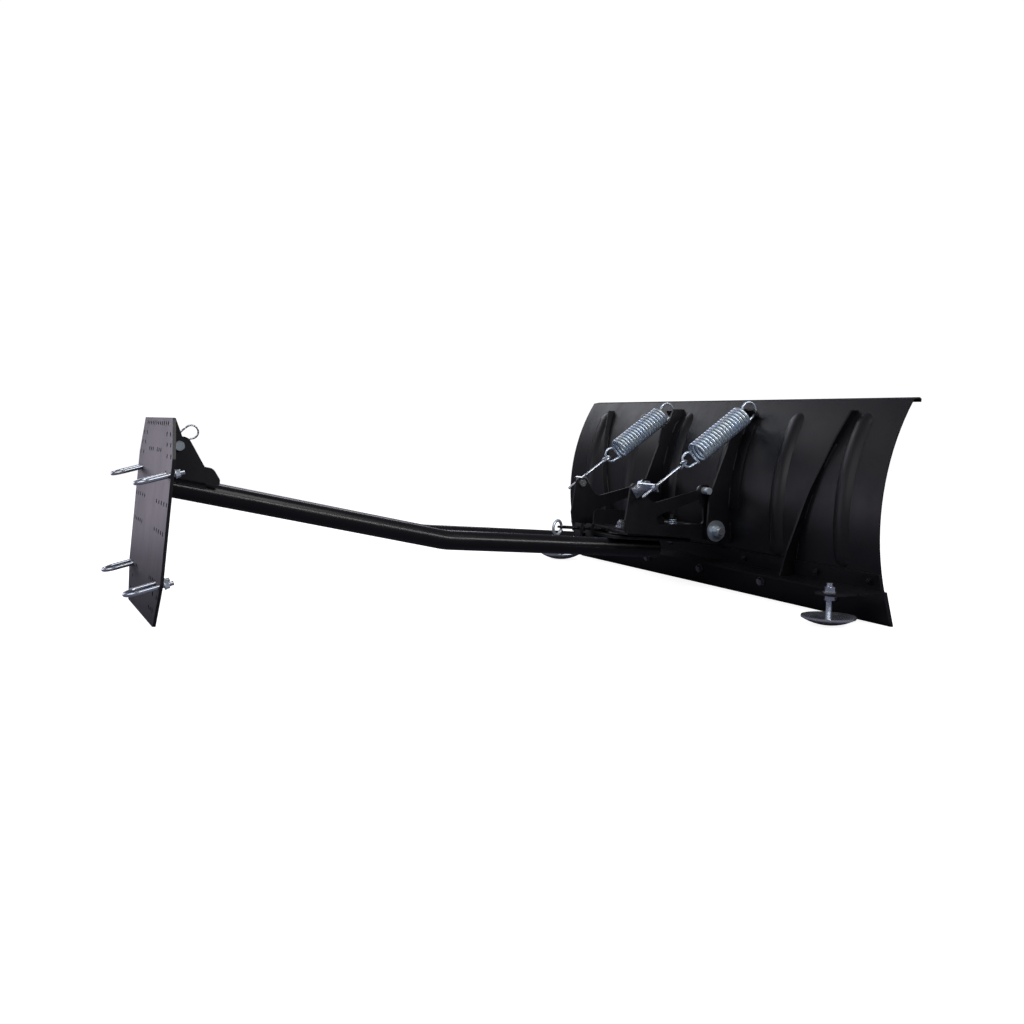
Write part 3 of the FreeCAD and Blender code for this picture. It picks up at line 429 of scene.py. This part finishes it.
def guide_spring():
    """Open coil round the guide bolt, standing square to the leaning deck."""
    low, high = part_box("guide_spring")
    axis = Vector((math.sin(DECK_LEAN), 0, math.cos(DECK_LEAN)))
    side = Vector((math.cos(DECK_LEAN), 0, -math.sin(DECK_LEAN)))
    middle = (low + high) / 2
    radius = (high.y - low.y) / 2 - GUIDE_SPRING_WIRE
    half = (high.z - low.z) / 2 - GUIDE_SPRING_WIRE - radius * math.sin(DECK_LEAN)
    steps = GUIDE_SPRING_TURNS * GUIDE_TURN_STEPS
    path = []
    for k in range(steps + 1):
        turn = 2 * math.pi * k / GUIDE_TURN_STEPS
        place = middle + axis * (half * (2 * k / steps - 1))
        path.append(place + (side * math.cos(turn) + ACROSS * math.sin(turn)) * radius)
    radii = [GUIDE_SPRING_WIRE] * len(path)
    vertices, faces = swept(path, radii, GUIDE_SPRING_SIDES)
    piece = make_object("guide_spring_coil", vertices, faces, SPRING)
    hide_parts("guide_spring")
    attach(piece, "swivel")


guide_spring()

# ---------------------------------------------------------------- screw threads

CREST = 0.28 * MM
THREAD_CLEARANCE = 0.02 * MM
THREAD_SIDES = 14
ROWS_PER_PITCH = 4
STUD_RADIUS = 6.0 * MM
STUD_PITCH = 1.75 * MM
STUD_HUB = 12.0 * MM
STUD_TIP = 0.3 * MM
EYEBOLT_RADIUS = 3.0 * MM
EYEBOLT_PITCH = 1.0 * MM
EYE_BELOW_HOOK = 19.3 * MM
EYEBOLT_THREAD_START = 62.0 * MM
EYEBOLT_THREAD_END = 129.6 * MM


def thread(name, start, end, radius, pitch, body):
    """Helical ridge wrapped round a plain zinc shank."""
    length = (end - start).length
    axis = (end - start).normalized()
    side = axis.orthogonal().normalized()
    up = axis.cross(side)
    rows = int(length / pitch * ROWS_PER_PITCH)
    vertices = []
    for i in range(rows + 1):
        height = length * i / rows
        fade = max(0.0, min(1.0, height / pitch, (length - height) / pitch))
        for j in range(THREAD_SIDES):
            angle = 2 * math.pi * j / THREAD_SIDES
            phase = (height / pitch - j / THREAD_SIDES) % 1.0
            ridge = 1.0 - abs(2.0 * phase - 1.0)
            reach = radius + THREAD_CLEARANCE + CREST * ridge * fade
            outward = side * math.cos(angle) + up * math.sin(angle)
            vertices.append(start + axis * height + outward * reach)
    faces = tube_faces(rows + 1, THREAD_SIDES)
    piece = make_object(name, vertices, faces, ZINC)
    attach(piece, body)


def stud_thread(side):
    """The skid's stud, from just over its hub up to its top."""
    low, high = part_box("skid_" + side)
    x, y = (low.x + high.x) / 2, (low.y + high.y) / 2
    foot = Vector((x, y, low.z + STUD_HUB))
    top = Vector((x, y, high.z - STUD_TIP))
    thread("stud_thread_" + side, foot, top, STUD_RADIUS, STUD_PITCH, "skid_" + side)


def eyebolt_thread(side):
    """The lower half of the eyebolt's shank, through its nuts and out of the bracket."""
    bottom, top = spring_ends(side)
    along = (bottom - top).normalized()
    eye = bottom + along * EYE_BELOW_HOOK
    start = eye + along * EYEBOLT_THREAD_START
    end = eye + along * EYEBOLT_THREAD_END
    thread("eyebolt_thread_" + side, start, end, EYEBOLT_RADIUS, EYEBOLT_PITCH, "swivel")


for side in ("left", "right"):
    stud_thread(side)
    eyebolt_thread(side)

# ---------------------------------------------------------------- weld beads

BEAD_RADIUS = 2.2 * MM
LUG_BEAD_RADIUS = 2.4 * MM
BEAD_STEP = 0.9 * MM
BEAD_SIDES = 8
BEAD_CURVE_STEPS = 6
BEAD_END = 0.35
RIPPLE_LENGTH = 3.6 * MM
RIPPLE_BASE = 0.86
RIPPLE_DEPTH = 0.16
DRIFT = 0.12
DRIFT_TURNING = 61.0
DRIFT_START = 9000.0
RAY_START = 0.1
EAR_SEAM_FOOT = 28.0 * MM
EAR_SEAM_TOP = 6.0 * MM
EAR_SEAM_INSET = 0.4 * MM
EAR_REACH = 60.0 * MM
TANG_INSET = 0.2 * MM
TANG_FRONT = 2.0 * MM
TANG_REAR = 3.0 * MM
LUG_INNER = 144.0 * MM
LUG_OUTER = 150.0 * MM
LUG_INSET = 0.5 * MM
LUG_TIP = 22.0 * MM
LUG_RUNS = ((0.03, 0.16), (0.28, 0.44), (0.58, 0.74), (0.86, 0.97))
BRACE_HALF = 2.5 * MM
BRACE_SEAM = 3.0 * MM
BRACE_RUNS = ((0.08, 0.2), (0.36, 0.5), (0.66, 0.8))


def hit(node_name, origin, direction):
    """First point of one CAD node met from origin along direction, or None."""
    node = nodes[node_name]
    inverse = node.matrix_world.inverted()
    start = inverse @ Vector(origin)
    heading = (inverse.to_3x3() @ Vector(direction)).normalized()
    found, place, _, _ = node.ray_cast(start, heading)
    return node.matrix_world @ place if found else None


def weld(name, points, body, radius=BEAD_RADIUS):
    """Rippled bead laid along a seam; a seam with no metal under it gets none."""
    points = [p for p in points if p is not None]
    if len(points) < 2:
        return
    dense = smooth_path(points, BEAD_CURVE_STEPS)
    path, travelled = [dense[0]], 0.0
    for a, b in zip(dense, dense[1:]):
        count = max(1, int((b - a).length / BEAD_STEP))
        path += [a.lerp(b, (k + 1) / count) for k in range(count)]
    radii = []
    for k, point in enumerate(path):
        if k:
            travelled += (point - path[k - 1]).length
        ripple = 0.5 + 0.5 * math.cos(2 * math.pi * travelled / RIPPLE_LENGTH)
        drift = DRIFT * math.sin(travelled * DRIFT_TURNING + radius * DRIFT_START)
        radii.append(radius * (RIPPLE_BASE + RIPPLE_DEPTH * ripple + drift))
    radii[0] = radii[-1] = radius * BEAD_END
    vertices, faces = swept(path, radii, BEAD_SIDES)
    piece = make_object(name, vertices, faces, COAT)
    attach(piece, body)


def ear_welds(side, sign):
    """Seams between the hinge ear and the mount plate."""
    low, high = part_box("mount_ear_" + side)
    inner, outer = sorted((abs(low.y), abs(high.y)))
    for face, offset, inset in (("inner", inner, -EAR_SEAM_INSET), ("outer", outer, EAR_SEAM_INSET)):
        points = []
        for z in spread(low.z + EAR_SEAM_FOOT, high.z - EAR_SEAM_TOP, 9):
            place = hit("mount_plate", (high.x, sign * (offset + inset), z), (-1, 0, 0))
            if place and place.x < high.x - EAR_REACH:
                points.append(Vector((place.x, sign * offset, z)))
        weld("weld_ear_" + face + "_" + side, points, "mount")


def tang_welds(side, sign):
    """Seams between the hinge tang and its tube."""
    low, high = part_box("hinge_tangs")
    y = sign * (high.y - TANG_INSET)
    points = [hit("push_tube_" + side, (x, y, high.z), (0, 0, -1))
              for x in spread(low.x + TANG_REAR, high.x - TANG_FRONT, 7)]
    weld("weld_tang_" + side, points, "push_frame")


def lug_welds(side, sign):
    """Stitches between the hinge lug and the blade or its flange."""
    low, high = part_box("trip_lug_" + side)
    seam = high.z - low.z - LUG_TIP
    for index, (start, end) in enumerate(LUG_RUNS):
        for face, offset, inset in (("a", LUG_OUTER, LUG_INSET), ("b", LUG_INNER, -LUG_INSET)):
            points = []
            for z in spread(low.z + seam * start, low.z + seam * end, 5):
                origin = (low.x - RAY_START, sign * (offset + inset), z)
                places = [hit(n, origin, (1, 0, 0)) for n in ("moldboard", "lug_flanges")]
                places = [p for p in places if p is not None]
                if places:
                    points.append(Vector((min(p.x for p in places), sign * offset, z)))
            weld("weld_lug_%s_%d_%s" % (side, index + 1, face), points, "blade", LUG_BEAD_RADIUS)


def brace_welds(side, sign):
    """Stitches down both faces of the diagonal brace."""
    low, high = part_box("brace_" + side)
    inside = min(abs(low.y), abs(high.y)) + BRACE_HALF
    outside = max(abs(low.y), abs(high.y)) - BRACE_HALF
    for index, (start, end) in enumerate(BRACE_RUNS):
        for face, offset in (("a", BRACE_SEAM), ("b", -BRACE_SEAM)):
            points = []
            for t in spread(start, end, 5):
                z = low.z + (high.z - low.z) * t
                y = inside + (outside - inside) * t + offset
                points.append(hit("moldboard", (low.x - RAY_START, sign * y, z), (1, 0, 0)))
            weld("weld_brace_%s_%d_%s" % (side, index + 1, face), points, "blade")


for side, sign in (("left", 1), ("right", -1)):
    ear_welds(side, sign)
    tang_welds(side, sign)
    lug_welds(side, sign)
    brace_welds(side, sign)

# ---------------------------------------------------------------- stage, light and camera

FLOOR_SIZE = 30.0
FLOOR_GAP = 0.6 * MM
FLOOR_DIM = (0.84, 0.84, 0.84)
FLOOR_PALE = (0.90, 0.90, 0.90)
FLOOR_BOUNCE = (0.17, 0.17, 0.21)
FLOOR_GLOW = 0.90
BACKDROP_STRENGTH = 1.05
SKY_COLOUR = (0.84, 0.85, 1.0)
SKY_STRENGTH = 0.14
WHITE = (1.0, 1.0, 1.0)
BLACK = (0.0, 0.0, 0.0)

# Name, place, point aimed at, size, watts, colour
AREA_LIGHTS = (
    ("key_overhead", (-0.8, -1.6, 2.6), (-0.5, 0.0, 0.2), (2.4, 1.6), 27.0, WHITE),
    ("tube_strip", (0.6, -2.4, 1.55), (-0.6, 0.0, 0.2), (3.0, 0.30), 22.0, WHITE),
    ("side_soft", (-2.8, -0.4, 1.2), (-0.3, 0.0, 0.25), (1.6, 1.2), 9.0, WHITE),
    ("plate_card", (-2.08, 1.45, 0.42), (-1.35, 0.0, 0.3), (0.9, 0.8), 3.0, (1.0, 0.91, 1.08)),
    ("sky_card", (-0.3, 2.8, 1.75), (-0.1, 0.0, 0.35), (2.6, 1.0), 15.0, (0.93, 0.94, 1.0)),
)

CAMERA_PLACE = Vector((-1.6743, -2.2937, 0.3875))
CAMERA_RIGHT = Vector((0.89884, -0.43764, 0.02349))
CAMERA_DOWN = Vector((-0.01269, -0.07956, -0.99675))
CAMERA_FORWARD = Vector((0.43809, 0.89562, -0.07706))
CAMERA_LENS = 39.02
SENSOR_WIDTH = 36.0


def stage_floor():
    """Floor that glows white to the camera and throws little light back on the part."""
    mesh = bpy.data.meshes.new("floor")
    half = FLOOR_SIZE / 2
    level = cad_low.z - FLOOR_GAP
    corners = [(-half, -half, level), (half, -half, level), (half, half, level), (-half, half, level)]
    mesh.from_pydata(corners, [], [(0, 1, 2, 3)])
    floor = bpy.data.objects.new("floor", mesh)
    bpy.context.scene.collection.objects.link(floor)
    m = Nodes("floor_pale")
    grain = m.noise(scale=3.0, detail=4.0, rough=0.5)
    path = m.add("ShaderNodeLightPath")
    seen_colour = m.mix(m.ramp(grain, (0.3, 0.7)), FLOOR_DIM, FLOOR_PALE)
    m.colour(m.mix(path, FLOOR_BOUNCE, seen_colour, out="Is Camera Ray"))
    m.shader.inputs["Roughness"].default_value = 0.9
    m.shader.inputs["Specular IOR Level"].default_value = 0.0
    glow = m.add("ShaderNodeEmission", Color=WHITE + (1.0,), Strength=FLOOR_GLOW)
    nothing = m.add("ShaderNodeEmission", Color=BLACK + (1.0,), Strength=0.0)
    seen = m.add("ShaderNodeMixShader")
    m.link(path, "Is Camera Ray", seen, "Fac")
    m.link(nothing, 0, seen, 1)
    m.link(glow, 0, seen, 2)
    total = m.add("ShaderNodeAddShader")
    m.link(m.shader, 0, total, 0)
    m.link(seen, 0, total, 1)
    m.link(total, "Shader", m.output, "Surface")
    mesh.materials.append(m.material)


def world_light():
    """White backdrop for the camera, dim cool light for everything else."""
    world = bpy.data.worlds.new("studio")
    bpy.context.scene.world = world
    world.use_nodes = True
    tree = world.node_tree
    tree.nodes.clear()
    output = tree.nodes.new("ShaderNodeOutputWorld")
    path = tree.nodes.new("ShaderNodeLightPath")
    mix = tree.nodes.new("ShaderNodeMixShader")
    tree.links.new(path.outputs["Is Camera Ray"], mix.inputs["Fac"])
    for index, colour, strength in ((1, SKY_COLOUR, SKY_STRENGTH), (2, WHITE, BACKDROP_STRENGTH)):
        background = tree.nodes.new("ShaderNodeBackground")
        background.inputs["Color"].default_value = colour + (1.0,)
        background.inputs["Strength"].default_value = strength
        tree.links.new(background.outputs[0], mix.inputs[index])
    tree.links.new(mix.outputs[0], output.inputs["Surface"])


def area_light(name, place, target, size, power, colour):
    data = bpy.data.lights.new(name, "AREA")
    data.shape = "RECTANGLE"
    data.size, data.size_y = size
    data.energy = power
    data.color = colour
    light = bpy.data.objects.new(name, data)
    bpy.context.scene.collection.objects.link(light)
    light.location = place
    direction = Vector(target) - Vector(place)
    light.rotation_euler = direction.to_track_quat("-Z", "Y").to_euler()
    light.visible_camera = False


def view_camera():
    """Camera low behind the right side, looking across the push tubes at the blade's back."""
    data = bpy.data.cameras.new("camera")
    data.lens = CAMERA_LENS
    data.sensor_width = SENSOR_WIDTH
    data.clip_start, data.clip_end = 0.05, 100.0
    camera = bpy.data.objects.new("camera", data)
    bpy.context.scene.collection.objects.link(camera)
    turn = Matrix((CAMERA_RIGHT, -CAMERA_DOWN, -CAMERA_FORWARD)).transposed()
    camera.matrix_world = Matrix.Translation(CAMERA_PLACE) @ turn.to_4x4()
    bpy.context.scene.camera = camera


stage_floor()
world_light()
for light_values in AREA_LIGHTS:
    area_light(*light_values)
view_camera()
bpy.context.scene.view_settings.view_transform = "Standard"
